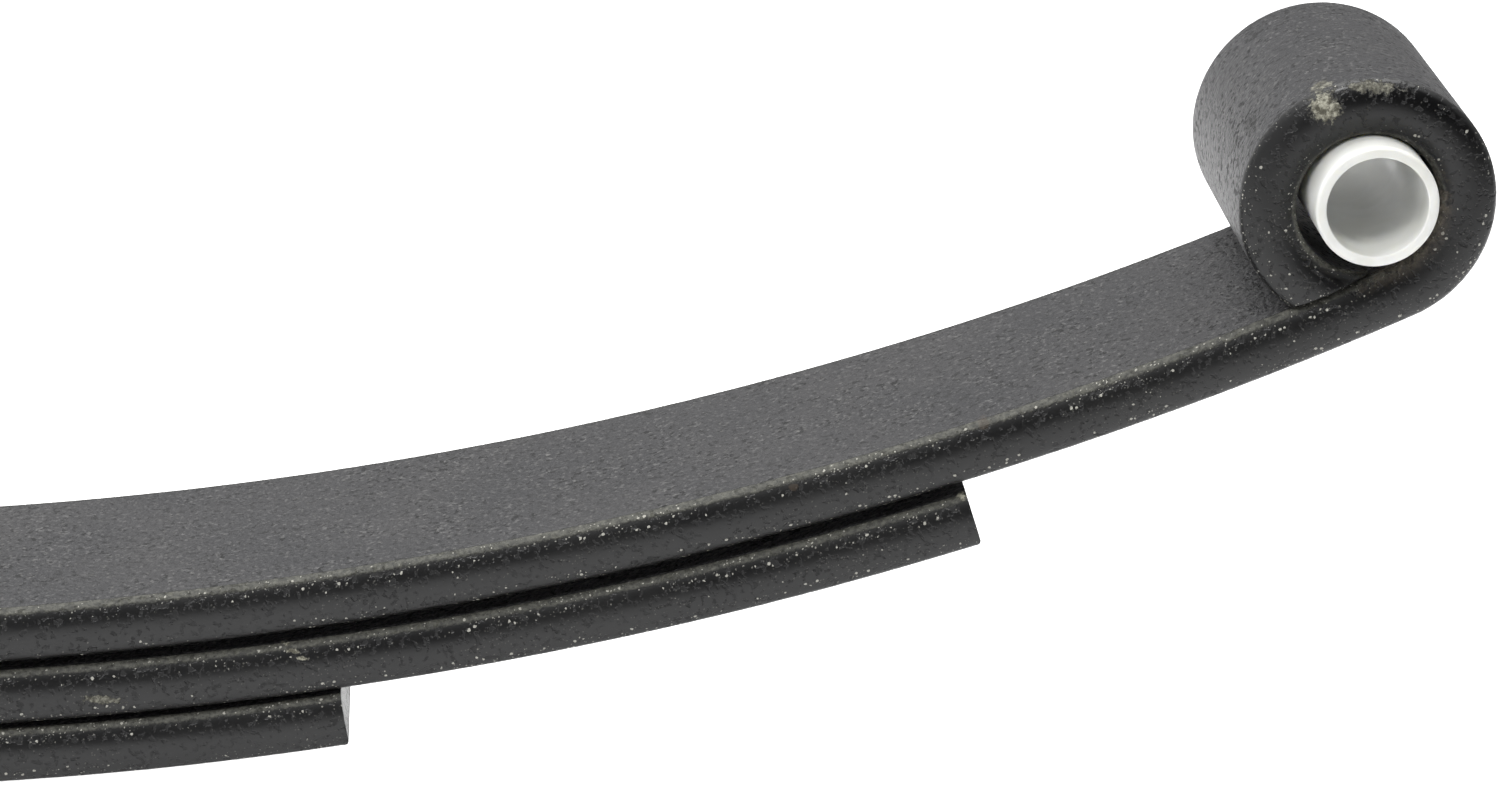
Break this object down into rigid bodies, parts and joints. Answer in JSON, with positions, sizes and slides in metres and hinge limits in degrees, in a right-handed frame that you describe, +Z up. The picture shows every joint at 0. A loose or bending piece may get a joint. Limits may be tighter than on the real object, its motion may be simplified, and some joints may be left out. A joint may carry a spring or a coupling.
{
  "type": "leaf spring",
  "caption": "Double-eye leaf spring: stacked cambered steel leaves clamped by a centre bolt, with a rolled eye and a nylon bushing at each end.",
  "frame": {"origin": "on the centre bolt's axis at the underside of the shortest leaf, where the spring sits on an axle's spring seat", "axes": "+X along the spring, +Y across its width, +Z up, from the shortest leaf towards the eyes"},
  "size_m": [0.6782, 0.0487, 0.1447],
  "materials": {
    "black_paint": "satin black paint on hot-rolled spring steel, worn along the edges",
    "zinc_steel": "zinc-plated steel",
    "nylon": "natural white nylon, slightly translucent"
  },
  "bodies": {
    "spring": {"main_leaf": "black_paint", "second_leaf": "black_paint", "third_leaf": "black_paint", "fourth_leaf": "black_paint", "center_bolt": "zinc_steel", "center_nut": "zinc_steel"},
    "right_bushing": {"right_bushing": "nylon"},
    "left_bushing": {"left_bushing": "nylon"}
  },
  "joints": [
    {"name": "right_bushing_turn", "type": "hinge", "parent": "spring", "child": "right_bushing", "pos_m": [0.3207, 0, 0.12137], "axis": [0, 1, 0], "continuous": true},
    {"name": "left_bushing_turn", "type": "hinge", "parent": "spring", "child": "left_bushing", "pos_m": [-0.3207, 0, 0.12137], "axis": [0, 1, 0], "continuous": true}
  ]
}
